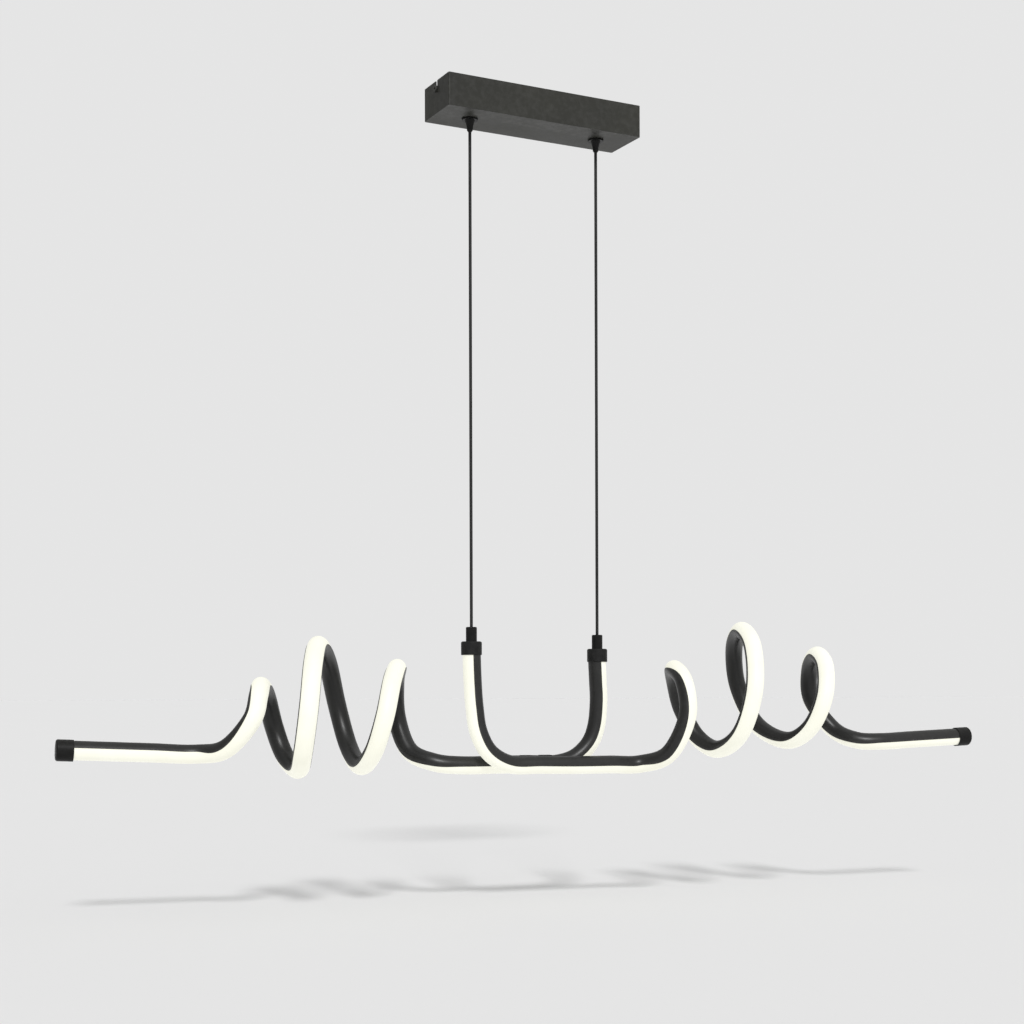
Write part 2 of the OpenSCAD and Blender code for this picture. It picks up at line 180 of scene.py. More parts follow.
class EffectShop:
    """Node groups that several finishes share, each built when it is first asked for."""

    def __init__(self) -> None:
        """Starts with no groups built."""
        self._built: dict[str, bpy.types.NodeTree] = {}

    def _group(
        self,
        name: str,
        inputs: Sequence[tuple[str, str, float]],
        outputs: Sequence[str],
        fill: Callable[[Wiring, bpy.types.Node, bpy.types.Node], None],
    ) -> bpy.types.NodeTree:
        """Builds a node group once.

        Args:
            name: the group's name.
            inputs: name, socket type and default of each input; a vector has no default.
            outputs: the names of the number outputs.
            fill: draws the nodes, given the wiring, the input node and the output node.

        Returns:
            The node group.
        """
        if name in self._built:
            return self._built[name]
        tree = bpy.data.node_groups.new(name, "ShaderNodeTree")
        for label, kind, default in inputs:
            socket = tree.interface.new_socket(name=label, in_out="INPUT", socket_type=kind)
            if kind == "NodeSocketFloat":
                socket.default_value = default
        for label in outputs:
            tree.interface.new_socket(name=label, in_out="OUTPUT", socket_type="NodeSocketFloat")
        wiring = Wiring(tree)
        entry = wiring.add("NodeGroupInput")
        leave = wiring.add("NodeGroupOutput")
        fill(wiring, entry, leave)
        self._built[name] = tree
        return tree

    def grain(self) -> bpy.types.NodeTree:
        """Fine skin of a coating or a moulding.

        Returns:
            A group with Height, the fine relief, and Tone, its slow change over the surface.
        """

        def fill(w: Wiring, entry: bpy.types.Node, leave: bpy.types.Node) -> None:
            """Draws pebbles, pores and a slow cloud."""
            place = w.add("ShaderNodeTexCoord").outputs["Object"]
            pebble = w.add("ShaderNodeTexVoronoi", feature="SMOOTH_F1")
            pores = w.add("ShaderNodeTexNoise", {"Detail": 4.0, "Roughness": 0.6})
            cloud = w.add("ShaderNodeTexNoise", {"Detail": 3.0, "Roughness": 0.55})
            for made, factor in ((pebble, 1.0), (pores, 2.3), (cloud, 0.012)):
                w.join(place, made.inputs["Vector"])
                w.join(w.sum_of("MULTIPLY", entry.outputs["Scale"], factor), made.inputs["Scale"])
            dome = w.sum_of("MULTIPLY", pebble.outputs["Distance"], entry.outputs["Pebble"])
            w.join(w.sum_of("ADD", dome, pores.outputs[0]), leave.inputs["Height"])
            w.join(w.spread(cloud.outputs[0], 0.3, 0.7, 0.0, 1.0), leave.inputs["Tone"])

        inputs = [("Scale", "NodeSocketFloat", 900.0), ("Pebble", "NodeSocketFloat", 0.5)]
        return self._group("Surface_Grain", inputs, ["Height", "Tone"], fill)

    def edge_wear(self) -> bpy.types.NodeTree:
        """Rubbed edges.

        Returns:
            A group with Mask, 1 where the finish is thin on an outer edge.
        """

        def fill(w: Wiring, entry: bpy.types.Node, leave: bpy.types.Node) -> None:
            """Draws the sharp places, broken up by noise."""
            bent = w.add("ShaderNodeNewGeometry").outputs["Pointiness"]
            sharp = w.spread(bent, 0.505, 0.56, 0.0, 1.0)
            place = w.add("ShaderNodeTexCoord").outputs["Object"]
            patch = w.add("ShaderNodeTexNoise", {"Scale": 140.0, "Detail": 5.0, "Roughness": 0.65})
            w.join(place, patch.inputs["Vector"])
            torn = w.spread(patch.outputs[0], 0.42, 0.66, 0.15, 1.0)
            worn = w.sum_of("MULTIPLY", sharp, torn)
            w.join(w.sum_of("MULTIPLY", worn, entry.outputs["Amount"]), leave.inputs["Mask"])

        return self._group("Edge_Wear", [("Amount", "NodeSocketFloat", 0.3)], ["Mask"], fill)

    def dust(self) -> bpy.types.NodeTree:
        """Light dust on the faces that look up.

        Returns:
            A group with Mask, 1 where the dust lies thickest.
        """

        def fill(w: Wiring, entry: bpy.types.Node, leave: bpy.types.Node) -> None:
            """Draws the faces that look up, with specks."""
            parts = w.add("ShaderNodeSeparateXYZ")
            w.join(w.add("ShaderNodeNewGeometry").outputs["Normal"], parts.inputs[0])
            upward = w.spread(parts.outputs[2], 0.35, 1.0, 0.0, 1.0)
            place = w.add("ShaderNodeTexCoord").outputs["Object"]
            speck = w.add("ShaderNodeTexNoise", {"Scale": 420.0, "Detail": 6.0, "Roughness": 0.7})
            w.join(place, speck.inputs["Vector"])
            thick = w.spread(speck.outputs[0], 0.38, 0.72, 0.1, 1.0)
            lying = w.sum_of("MULTIPLY", upward, thick)
            w.join(w.sum_of("MULTIPLY", lying, entry.outputs["Amount"]), leave.inputs["Mask"])

        return self._group("Dust_Film", [("Amount", "NodeSocketFloat", 0.2)], ["Mask"], fill)

    def drawn_lines(self) -> bpy.types.NodeTree:
        """Fine lines along a drawn or extruded piece.

        Returns:
            A group with Height and Tone, both long along Y of its vector and fine across X.
        """

        def fill(w: Wiring, entry: bpy.types.Node, leave: bpy.types.Node) -> None:
            """Draws noise that is stretched along the piece."""
            stretch = w.add("ShaderNodeMapping", {"Scale": (1.0, 0.012, 1.0)})
            w.join(entry.outputs["Vector"], stretch.inputs["Vector"])
            for label, factor, detail in (("Height", 1.0, 3.0), ("Tone", 0.22, 2.0)):
                made = w.add("ShaderNodeTexNoise", {"Detail": detail, "Roughness": 0.6})
                w.join(stretch.outputs[0], made.inputs["Vector"])
                w.join(w.sum_of("MULTIPLY", entry.outputs["Scale"], factor), made.inputs["Scale"])
                w.join(made.outputs[0], leave.inputs[label])

        inputs = [("Vector", "NodeSocketVector", 0.0), ("Scale", "NodeSocketFloat", 4000.0)]
        return self._group("Drawn_Lines", inputs, ["Height", "Tone"], fill)


EFFECTS = EffectShop()


@dataclass
class Blank:
    """A new material with its Principled shader, ready for effects.

    Args:
        name: the material's name.
    """

    name: str
    material: bpy.types.Material = field(init=False)
    wiring: Wiring = field(init=False)
    shader: bpy.types.Node = field(init=False)
    leave: bpy.types.Node = field(init=False)

    def __post_init__(self) -> None:
        """Makes the material, its shader and its output."""
        self.material = bpy.data.materials.new(self.name)
        self.material.use_nodes = True
        self.material.node_tree.nodes.clear()
        self.wiring = Wiring(self.material.node_tree)
        self.shader = self.wiring.add("ShaderNodeBsdfPrincipled")
        self.leave = self.wiring.add("ShaderNodeOutputMaterial")
        self.wiring.join(self.shader.outputs[0], self.leave.inputs[0])

    def plain(self, **values: object) -> None:
        """Sets numbers that are the same all over, such as Metallic=1.0 or Coat_Weight=0.2."""
        for label, value in values.items():
            self.shader.inputs[label.replace("_", " ")].default_value = value

    def feed(self, socket: bpy.types.NodeSocket, label: str) -> None:
        """Joins a value that changes over the surface to one of the shader's inputs."""
        self.wiring.join(socket, self.shader.inputs[label])

    def effect(self, tree: bpy.types.NodeTree, **values: float) -> bpy.types.Node:
        """Places a shared effect.

        Args:
            tree: the effect's node group.
            values: its inputs, by name.

        Returns:
            The group node.
        """
        made = self.wiring.add("ShaderNodeGroup")
        made.node_tree = tree
        for label, value in values.items():
            made.inputs[label].default_value = value
        return made

    def relief(self, height: bpy.types.NodeSocket, depth: float, strength: float = 1.0) -> None:
        """Bumps the surface.

        Args:
            height: the relief, from 0 to 1.
            depth: its real depth in metres.
            strength: share of the bump that shows.
        """
        bump = self.wiring.add("ShaderNodeBump", {"Strength": strength, "Distance": depth})
        self.wiring.join(height, bump.inputs["Height"])
        self.feed(bump.outputs[0], "Normal")

    def along(self) -> bpy.types.NodeSocket:
        """The UV map of a swept piece: X round its outline and Y along its length, in metres."""
        return self.wiring.add("ShaderNodeUVMap", uv_map="along").outputs[0]


Colour = tuple[float, float, float, float]


def grey(level: float, warmth: float = 0.0) -> Colour:
    """A grey, a little warm or cold.

    Args:
        level: linear brightness.
        warmth: share added to red and green and taken from blue.

    Returns:
        The colour.
    """
    return (level * (1 + warmth), level * (1 + warmth), level * (1 - warmth), 1.0)


# ---------------------------------------------------------------------------------------------
# Finishes
# ---------------------------------------------------------------------------------------------


@dataclass(frozen=True)
class PowderCoat:
    """Satin black powder coat on sheet steel: fine orange peel, rubbed edges and a little dust."""

    slot: str = "black_coat"
    level: float = 0.016
    roughness: float = 0.44

    def build(self) -> bpy.types.Material:
        """Makes the material."""
        blank = Blank("Black_Powder_Coat")
        w = blank.wiring
        grain = blank.effect(EFFECTS.grain(), Scale=950.0, Pebble=0.9)
        wear = blank.effect(EFFECTS.edge_wear(), Amount=0.35)
        dust = blank.effect(EFFECTS.dust(), Amount=0.22)
        dark, light = grey(self.level * 0.86, 0.1), grey(self.level * 1.14, 0.14)
        coat = w.blend(grain.outputs["Tone"], dark, light)
        rubbed = w.blend(wear.outputs["Mask"], coat, grey(0.11, 0.02))
        blank.feed(w.blend(dust.outputs["Mask"], rubbed, grey(0.3, 0.06)), "Base Color")
        smooth, rough = self.roughness - 0.04, self.roughness + 0.05
        matt = w.sum_of("MULTIPLY", dust.outputs["Mask"], 0.3)
        tone = w.spread(grain.outputs["Tone"], 0.0, 1.0, smooth, rough)
        blank.feed(w.sum_of("ADD", tone, matt), "Roughness")
        blank.relief(grain.outputs["Height"], 0.00006, 0.55)
        blank.plain(Specular_IOR_Level=0.3)
        return blank.material


@dataclass(frozen=True)
class BlackAluminium:
    """Black anodised aluminium: fine extrusion lines, a satin sheen and bright worn edges."""

    slot: str = "black_aluminium"
    name: str = "Black_Anodised_Aluminium"
    level: float = 0.012
    roughness: float = 0.36
    gloss: float = 0.36
    extruded: bool = True

    def build(self) -> bpy.types.Material:
        """Makes the material."""
        blank = Blank(self.name)
        w = blank.wiring
        grain = blank.effect(EFFECTS.grain(), Scale=1500.0, Pebble=0.3)
        wear = blank.effect(EFFECTS.edge_wear(), Amount=0.2)
        dust = blank.effect(EFFECTS.dust(), Amount=0.05)
        height = grain.outputs["Height"]
        tone = grain.outputs["Tone"]
        if self.extruded:
            lines = blank.effect(EFFECTS.drawn_lines(), Scale=3800.0)
            w.join(blank.along(), lines.inputs["Vector"])
            height = w.sum_of("ADD", w.sum_of("MULTIPLY", height, 0.35), lines.outputs["Height"])
            tone = w.sum_of("MULTIPLY", w.sum_of("ADD", tone, lines.outputs["Tone"]), 0.5)
        skin = w.blend(tone, grey(self.level * 0.8, 0.02), grey(self.level * 1.25, 0.03))
        rubbed = w.blend(wear.outputs["Mask"], skin, grey(0.16))
        blank.feed(w.blend(dust.outputs["Mask"], rubbed, grey(0.25, 0.05)), "Base Color")
        smooth, rough = self.roughness - 0.05, self.roughness + 0.07
        blank.feed(w.spread(tone, 0.0, 1.0, smooth, rough), "Roughness")
        blank.relief(height, 0.00004, 0.5)
        blank.plain(Specular_IOR_Level=self.gloss)
        return blank.material


@dataclass(frozen=True)
class MouldedBlack:
    """Black moulded plastic with a very fine spark-eroded skin."""

    slot: str = "black_plastic"
    name: str = "Black_Moulded_Plastic"
    level: float = 0.005
    roughness: float = 0.4
    skin_depth: float = 0.00004

    def build(self) -> bpy.types.Material:
        """Makes the material."""
        blank = Blank(self.name)
        w = blank.wiring
        grain = blank.effect(EFFECTS.grain(), Scale=2100.0, Pebble=0.6)
        wear = blank.effect(EFFECTS.edge_wear(), Amount=0.18)
        dust = blank.effect(EFFECTS.dust(), Amount=0.07)
        dark, light = grey(self.level * 0.85, 0.02), grey(self.level * 1.2, 0.03)
        skin = w.blend(grain.outputs["Tone"], dark, light)
        rubbed = w.blend(wear.outputs["Mask"], skin, grey(0.07))
        blank.feed(w.blend(dust.outputs["Mask"], rubbed, grey(0.25, 0.05)), "Base Color")
        smooth, rough = self.roughness - 0.05, self.roughness + 0.06
        blank.feed(w.spread(grain.outputs["Tone"], 0.0, 1.0, smooth, rough), "Roughness")
        blank.relief(grain.outputs["Height"], self.skin_depth, 0.5)
        blank.plain(Specular_IOR_Level=0.16)
        return blank.material


@dataclass(frozen=True)
class CordJacket:
    """Black cord jacket: two layers of thin braid wound opposite ways."""

    slot: str = "cord_jacket"
    level: float = 0.008
    braid_pitch: float = 0.0016

    def build(self) -> bpy.types.Material:
        """Makes the material."""
        blank = Blank("Braided_Cord_Jacket")
        w = blank.wiring
        parts = w.add("ShaderNodeSeparateXYZ")
        w.join(blank.along(), parts.inputs[0])
        turns = 2 * math.pi / self.braid_pitch
        strands = []
        for way in (1.0, -1.0):
            slant = w.sum_of("ADD", parts.outputs[1], w.sum_of("MULTIPLY", parts.outputs[0], way))
            strands.append(w.sum_of("SINE", w.sum_of("MULTIPLY", slant, turns)))
        woven = w.spread(w.sum_of("MULTIPLY", strands[0], strands[1]), -1.0, 1.0, 0.0, 1.0)
        grain = blank.effect(EFFECTS.grain(), Scale=2600.0, Pebble=0.2)
        thread = w.blend(woven, grey(self.level * 0.8), grey(self.level * 1.2, 0.02))
        clouded = w.blend(grain.outputs["Tone"], thread, grey(self.level * 1.1, 0.03))
        blank.feed(clouded, "Base Color")
        blank.feed(w.spread(woven, 0.0, 1.0, 0.62, 0.54), "Roughness")
        height = w.sum_of("ADD", woven, w.sum_of("MULTIPLY", grain.outputs["Height"], 0.3))
        blank.relief(height, 0.00002, 0.4)
        blank.plain(Specular_IOR_Level=0.35)
        return blank.material


@dataclass(frozen=True)
class GlowingDiffuser:
    """Opal extruded diffuser, lit warm white from behind."""

    slot: str = "diffuser"
    body: Colour = (0.4, 0.395, 0.33, 1.0)
    glow: Colour = (1.0, 0.995, 0.88, 1.0)
    rim: Colour = (0.94, 0.93, 0.78, 1.0)
    strength: float = 0.58
    half_girth: float = 0.0154

    def build(self) -> bpy.types.Material:
        """Makes the material."""
        blank = Blank("Opal_Diffuser")
        w = blank.wiring
        grain = blank.effect(EFFECTS.grain(), Scale=1200.0, Pebble=0.3)
        parts = w.add("ShaderNodeSeparateXYZ")
        w.join(blank.along(), parts.inputs[0])
        across = w.sum_of("ABSOLUTE", w.sum_of("SUBTRACT", parts.outputs[0], self.half_girth))
        edge = w.spread(across, self.half_girth * 0.86, self.half_girth, 0.0, 1.0)
        per_chip = 2 * math.pi / LedStrip.chip_pitch
        chip_row = w.sum_of("SINE", w.sum_of("MULTIPLY", parts.outputs[1], per_chip))
        dim_rim = w.sum_of("MULTIPLY", edge, 0.55)
        dimming = w.sum_of("ADD", dim_rim, w.spread(chip_row, -1.0, 1.0, 0.0, 0.02))
        blank.feed(w.blend(dimming, self.glow, self.rim), "Emission Color")
        blank.feed(w.blend(grain.outputs["Tone"], self.body, grey(0.43, 0.06)), "Base Color")
        blank.feed(w.spread(grain.outputs["Tone"], 0.0, 1.0, 0.42, 0.5), "Roughness")
        blank.relief(grain.outputs["Height"], 0.00002, 0.4)
        blank.plain(Emission_Strength=self.strength, Specular_IOR_Level=0.3)
        return blank.material


@dataclass(frozen=True)
class LedBand:
    """Cream circuit band with paler solder pads between the chips."""

    slot: str = "led_strip"

    def build(self) -> bpy.types.Material:
        """Makes the material."""
        blank = Blank("Led_Circuit_Band")
        w = blank.wiring
        parts = w.add("ShaderNodeSeparateXYZ")
        w.join(blank.along(), parts.inputs[0])
        per_pad = math.pi / LedStrip.chip_pitch
        beat = w.sum_of("SINE", w.sum_of("MULTIPLY", parts.outputs[1], per_pad))
        pad = w.spread(beat, 0.9, 0.96, 0.0, 1.0)
        grain = blank.effect(EFFECTS.grain(), Scale=1800.0, Pebble=0.2)
        band = w.blend(grain.outputs["Tone"], (0.86, 0.82, 0.66, 1.0), (0.8, 0.75, 0.58, 1.0))
        blank.feed(w.blend(pad, band, (0.75, 0.6, 0.34, 1.0)), "Base Color")
        blank.feed(w.spread(pad, 0.0, 1.0, 0.55, 0.3), "Roughness")
        blank.relief(w.sum_of("ADD", pad, grain.outputs["Height"]), 0.00005, 0.5)
        return blank.material


@dataclass(frozen=True)
class BareMetal:
    """Plated or turned metal with drawn lines, small stains and bright edges."""

    slot: str
    name: str
    colour: Colour
    stain: Colour
    roughness: float

    def build(self) -> bpy.types.Material:
        """Makes the material."""
        blank = Blank(self.name)
        w = blank.wiring
        grain = blank.effect(EFFECTS.grain(), Scale=1100.0, Pebble=0.2)
        wear = blank.effect(EFFECTS.edge_wear(), Amount=0.4)
        lines = blank.effect(EFFECTS.drawn_lines(), Scale=2400.0)
        w.join(w.add("ShaderNodeTexCoord").outputs["Object"], lines.inputs["Vector"])
        stained = w.spread(grain.outputs["Tone"], 0.35, 1.0, 0.0, 0.6)
        plated = w.blend(stained, self.colour, self.stain)
        blank.feed(w.blend(wear.outputs["Mask"], plated, grey(0.85, 0.01)), "Base Color")
        smooth, rough = self.roughness - 0.07, self.roughness + 0.1
        blank.feed(w.spread(lines.outputs["Tone"], 0.3, 0.7, smooth, rough), "Roughness")
        height = w.sum_of("ADD", lines.outputs["Height"], grain.outputs["Height"])
        blank.relief(height, 0.00003, 0.45)
        blank.plain(Metallic=1.0)
        return blank.material


@dataclass(frozen=True)
class DriverPlastic:
    """White moulded housing of the driver and the terminal block."""

    slot: str = "driver_plastic"

    def build(self) -> bpy.types.Material:
        """Makes the material."""
        blank = Blank("White_Housing_Plastic")
        w = blank.wiring
        grain = blank.effect(EFFECTS.grain(), Scale=1600.0, Pebble=0.7)
        dust = blank.effect(EFFECTS.dust(), Amount=0.3)
        shell = w.blend(grain.outputs["Tone"], grey(0.76, 0.015), grey(0.69, 0.03))
        blank.feed(w.blend(dust.outputs["Mask"], shell, grey(0.5, 0.05)), "Base Color")
        blank.feed(w.spread(grain.outputs["Tone"], 0.0, 1.0, 0.48, 0.6), "Roughness")
        blank.relief(grain.outputs["Height"], 0.00005, 0.6)
        return blank.material


@dataclass(frozen=True)
class StudioPaper:
    """Pale paper of the studio floor, clear from below so that it never hides the light."""

    level: float = 0.8

    def build(self) -> bpy.types.Material:
        """Makes the material."""
        blank = Blank("Studio_Paper")
        w = blank.wiring
        grain = blank.effect(EFFECTS.grain(), Scale=60.0, Pebble=0.0)
        tone = w.blend(grain.outputs["Tone"], grey(self.level * 0.998), grey(self.level * 1.002))
        blank.feed(tone, "Base Color")
        blank.plain(Roughness=1.0, Specular_IOR_Level=0.0)
        one_sided = w.add("ShaderNodeMixShader")
        w.join(w.add("ShaderNodeNewGeometry").outputs["Backfacing"], one_sided.inputs[0])
        w.join(blank.shader.outputs[0], one_sided.inputs[1])
        w.join(w.add("ShaderNodeBsdfTransparent").outputs[0], one_sided.inputs[2])
        w.join(one_sided.outputs[0], blank.leave.inputs[0])
        return blank.material


@dataclass(frozen=True)
class FinishSet:
    """Every finish of the light, built once."""

    coat: bpy.types.Material
    channel: bpy.types.Material
    collar: bpy.types.Material
    moulding: bpy.types.Material
    sleeve: bpy.types.Material
    cord: bpy.types.Material
    diffuser: bpy.types.Material
    strip: bpy.types.Material
    zinc: bpy.types.Material
    brass: bpy.types.Material
    housing: bpy.types.Material

    @staticmethod
    def build() -> "FinishSet":
        """Makes all the materials of the light."""
        collar = BlackAluminium(
            name="Black_Turned_Collar", level=0.004, roughness=0.46, gloss=0.22, extruded=False
        )
        sleeve = MouldedBlack(name="Black_Glossy_Sleeve", roughness=0.27, skin_depth=0.00001)
        zinc = BareMetal(
            "zinc_steel", "Zinc_Plated_Steel", grey(0.58, -0.02), grey(0.42, 0.02), 0.32
        )
        brass = BareMetal(
            "brass", "Turned_Brass", (0.72, 0.54, 0.25, 1.0), (0.5, 0.35, 0.16, 1.0), 0.28
        )
        return FinishSet(
            coat=PowderCoat().build(),
            channel=BlackAluminium().build(),
            collar=collar.build(),
            moulding=MouldedBlack().build(),
            sleeve=sleeve.build(),
            cord=CordJacket().build(),
            diffuser=GlowingDiffuser().build(),
            strip=LedBand().build(),
            zinc=zinc.build(),
            brass=brass.build(),
            housing=DriverPlastic().build(),
        )


# ---------------------------------------------------------------------------------------------
# Mesh helpers
# ---------------------------------------------------------------------------------------------


def shade(mesh: bpy.types.Mesh, crease_deg: float = 32.0) -> None:
    """Smooths a mesh's shading, except over edges sharper than crease_deg."""
    mesh.shade_smooth()
    mesh.set_sharp_from_angle(angle=math.radians(crease_deg))


def dress(piece: bpy.types.Object, finish: bpy.types.Material) -> None:
    """Gives a piece its only material."""
    if not piece.material_slots:
        piece.data.materials.append(finish)
    for place in piece.material_slots:
        place.link = "OBJECT"
        place.material = finish


def dress_node(node: str, finish: bpy.types.Material) -> None:
    """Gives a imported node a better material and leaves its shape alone."""
    dress(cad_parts[node], finish)
    LOG.info("%s: packed shape kept, dressed in %s", node, finish.name)


@dataclass(frozen=True)
class SoftEdge:
    """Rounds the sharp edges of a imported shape, as a press, a mould or a tumbler leaves them.

    Args:
        radius: radius of the rounding, in metres.
        segments: faces across the rounding.
        from_deg: edges that turn more than this are rounded.
    """

    radius: float = 0.0004
    segments: int = 3
    from_deg: float = 38.0

    def copy_of(
        self, node: str, name: str, body: str, finish: bpy.types.Material, slot: str
    ) -> None:
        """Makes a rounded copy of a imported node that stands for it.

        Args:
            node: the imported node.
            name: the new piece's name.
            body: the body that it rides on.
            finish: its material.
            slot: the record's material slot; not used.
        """
        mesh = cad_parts[node].data.copy()
        mesh.name = name
        mesh.materials.clear()
        work = bmesh.new()
        work.from_mesh(mesh)
        bmesh.ops.remove_doubles(work, verts=work.verts, dist=2e-6)
        flat = math.radians(1.5)
        bmesh.ops.dissolve_limit(work, angle_limit=flat, verts=work.verts, edges=work.edges)
        limit = math.radians(self.from_deg)
        sharp = [e for e in work.edges if e.is_manifold and e.calc_face_angle(0.0) > limit]
        bmesh.ops.bevel(
            work, geom=sharp, offset=self.radius, segments=self.segments, profile=0.5,
            affect="EDGES", clamp_overlap=True, loop_slide=False,
        )
        bmesh.ops.remove_doubles(work, verts=work.verts, dist=1e-6)
        bmesh.ops.recalc_face_normals(work, faces=work.faces)
        work.to_mesh(mesh)
        work.free()
        shade(mesh)
        piece = bpy.data.objects.new(name, mesh)
        bpy.context.scene.collection.objects.link(piece)
        weigh = piece.modifiers.new("Even_Normals", "WEIGHTED_NORMAL")
        weigh.keep_sharp = True
        dress(piece, finish)
        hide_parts(node)
        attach(piece, body)
        LOG.info("%s: %d faces, stands for %s on %s", name, len(mesh.polygons), node, body)


Ring = list[Vector]


@dataclass(frozen=True)
class Swept:
    """A closed solid made of outlines that follow a line.

    Args:
        name: the piece's name.
        skin: the outline's points on every ring, in the row frame.
        lengths: how far along the line each ring is, in metres.
        girth: how far round the outline each point is, in metres, with the last point closing it.
    """

    name: str
    skin: Sequence[Ring]
    lengths: Sequence[float]
    girth: Sequence[float]

    def build(self) -> bpy.types.Object:
        """Makes the object, with a UV map that runs round it and along it.

        Returns:
            The new object, linked into the scene.
        """
        mesh = bpy.data.meshes.new(self.name)
        work = bmesh.new()
        uv = work.loops.layers.uv.new("along")
        rings = [[work.verts.new(p) for p in ring] for ring in self.skin]
        count = len(rings[0])
        for i in range(len(rings) - 1):
            for j in range(count):
                k = (j + 1) % count
                face = work.faces.new((rings[i][j], rings[i][k], rings[i + 1][k], rings[i + 1][j]))
                places = ((j, i), (j + 1, i), (j + 1, i + 1), (j, i + 1))
                for loop, (across, step) in zip(face.loops, places):
                    loop[uv].uv = (self.girth[across], self.lengths[step])
        for ring in (rings[0], rings[-1]):
            work.faces.new(ring)
        bmesh.ops.recalc_face_normals(work, faces=work.faces)
        work.to_mesh(mesh)
        work.free()
        shade(mesh)
        piece = bpy.data.objects.new(self.name, mesh)
        bpy.context.scene.collection.objects.link(piece)
        return piece


# ---------------------------------------------------------------------------------------------
# Light tubes
# ---------------------------------------------------------------------------------------------

Station = tuple[Vector, Vector]
Turn = tuple[float, float, float]


def station(x: float, y: float, h: float, *out: float) -> Station:
    """A point on a tube's centre line and the way that its diffuser faces there.

    Args:
        x: place along the middle run, in mm.
        y: place across it, in mm.
        h: height above it, in mm.
        out: the way that the diffuser faces; straight down if it is left out.

    Returns:
        The point and the direction.
    """
    return Vector((x, y, h)), Vector(out or (0, 0, -1))


@dataclass(frozen=True)
class CoilPath:
    """The half turns of one coil, back and front in turn, top first.

    Args:
        turns: for each half turn its start along X, the height there, and X at its middle, in mm.
    """

    turns: Sequence[Turn]

    def _point(self, i: int, side: int, k: int) -> Vector:
        """The centre line k eighths of a full turn into half turn i."""
        a, b = self.turns[i], self.turns[i + 1]
        t = k / 4
        x = a[0] * (1 - t) * (1 - 2 * t) + 4 * a[2] * t * (1 - t) + b[0] * t * (2 * t - 1)
        radius, angle = abs(b[1] - a[1]) / 2, math.radians(45 * k)
        middle = (a[1] + b[1]) / 2
        y, h = -side * radius * math.sin(angle), middle - side * radius * math.cos(angle)
        return Vector((x, y, h))

    def stations(self) -> list[Station]:
        """All stations of the coil, from its first top to the middle of its last half turn."""
        found = []
        last = len(self.turns) - 2
        for i in range(last + 1):
            side = -1 if i % 2 == 0 else 1
            for k in range((2 if i == last else 3) + 1):
                angle = math.radians(45 * k)
                out = Vector((0, -side * math.sin(angle), -side * math.cos(angle)))
                found.append((self._point(i, side, k), out))
        return found


@dataclass(frozen=True)
class ArmPath:
    """One straight outer arm, which rises a little towards its end.

    Args:
        start: where it starts along X, in mm.
        end: where it ends along X, in mm.
        height: its height at the start, in mm.
        out: the way that its diffuser faces.
        rise_deg: how steeply it rises.
    """

    start: float
    end: float
    height: float
    out: tuple[float, float, float]
    rise_deg: float = 2.5

    def stations(self) -> list[Station]:
        """Four stations, evenly spaced."""
        found = []
        for i in range(4):
            x = self.start + (self.end - self.start) * i / 3
            h = self.height + abs(x - self.start) * math.tan(math.radians(self.rise_deg))
            found.append(station(x, 0, h, *self.out))
        return found


@dataclass
class TubeRoute:
    """The smooth centre line of one light tube, from its stations.

    Args:
        stations: points and diffuser directions, in the lamp's own frame, in mm.
        steps: rings to each stretch between two stations.
    """

    stations: Sequence[Station]
    steps: int = 9
    run_drop: float = 796.0
    points: list[Vector] = field(init=False)
    outs: list[Vector] = field(init=False)

    def __post_init__(self) -> None:
        """Runs the curve through the stations and hangs it under the canopy."""
        hang = Matrix.Translation((0, 0, -self.run_drop)) @ Matrix.Rotation(
            -math.asin(TUBE_Y / CORD_X), 4, "Z"
        )
        turn = hang.to_3x3()
        self.points = [(hang @ p) * MM for p in self._curve([s[0] for s in self.stations])]
        self.outs = [turn @ o for o in self._curve([s[1] for s in self.stations])]

    def _curve(self, marks: Sequence[Vector]) -> list[Vector]:
        """Smooth values through the marks, steps to each stretch."""
        found = []
        last = len(marks) - 1
        for i in range(last):
            a, b, c, d = (marks[max(0, min(last, i + n))] for n in (-1, 0, 1, 2))
            for k in range(self.steps + (1 if i == last - 1 else 0)):
                t = k / self.steps
                found.append(
                    0.5 * (2 * b + (c - a) * t + (2 * a - 5 * b + 4 * c - d) * t * t
                           + (3 * b - a - 3 * c + d) * t ** 3)
                )
        return found

    def lengths(self) -> list[float]:
        """How far along the tube each ring is, in metres."""
        found = [0.0]
        for before, after in zip(self.points, self.points[1:]):
            found.append(found[-1] + (after - before).length)
        return found

    def axes(self, i: int) -> tuple[Vector, Vector]:
        """The directions across the tube and towards its diffuser at ring i."""
        last = len(self.points) - 1
        along = (self.points[min(last, i + 1)] - self.points[max(0, i - 1)]).normalized()
        facing = (self.outs[i] - along * self.outs[i].dot(along)).normalized()
        return facing.cross(along), facing

    def skin(self, outline: Sequence[tuple[float, float]]) -> list[Ring]:
        """An outline on every ring.

        Args:
            outline: points across the tube and towards its diffuser, in mm.

        Returns:
            The rings, in the row frame, in metres.
        """
        found = []
        for i, centre in enumerate(self.points):
            across, facing = self.axes(i)
            found.append([centre + (across * u + facing * v) * MM for u, v in outline])
        return found


